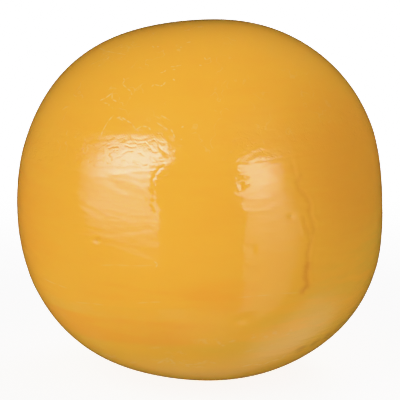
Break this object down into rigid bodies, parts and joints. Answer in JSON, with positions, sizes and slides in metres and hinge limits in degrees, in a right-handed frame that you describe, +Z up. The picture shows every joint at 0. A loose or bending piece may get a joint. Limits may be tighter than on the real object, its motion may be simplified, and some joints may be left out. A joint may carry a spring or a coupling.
{
  "type": "edam cheese ball",
  "caption": "Whole pressed cheese ball in glossy yellow wax: slightly squared and flattened, with a mould belt between two seams and a small flat to rest on.",
  "frame": {"origin": "under the middle of the ball, on the small flat that it rests on", "axes": "+Z up, the way the cheese stands; +X to the right and -Y towards the viewer of the shown side"},
  "size_m": [0.1422, 0.1424, 0.1371],
  "materials": {
    "wax_coat": "gloss"
  },
  "bodies": {
    "root": {"cheese_ball": "wax_coat"}
  },
  "joints": []
}
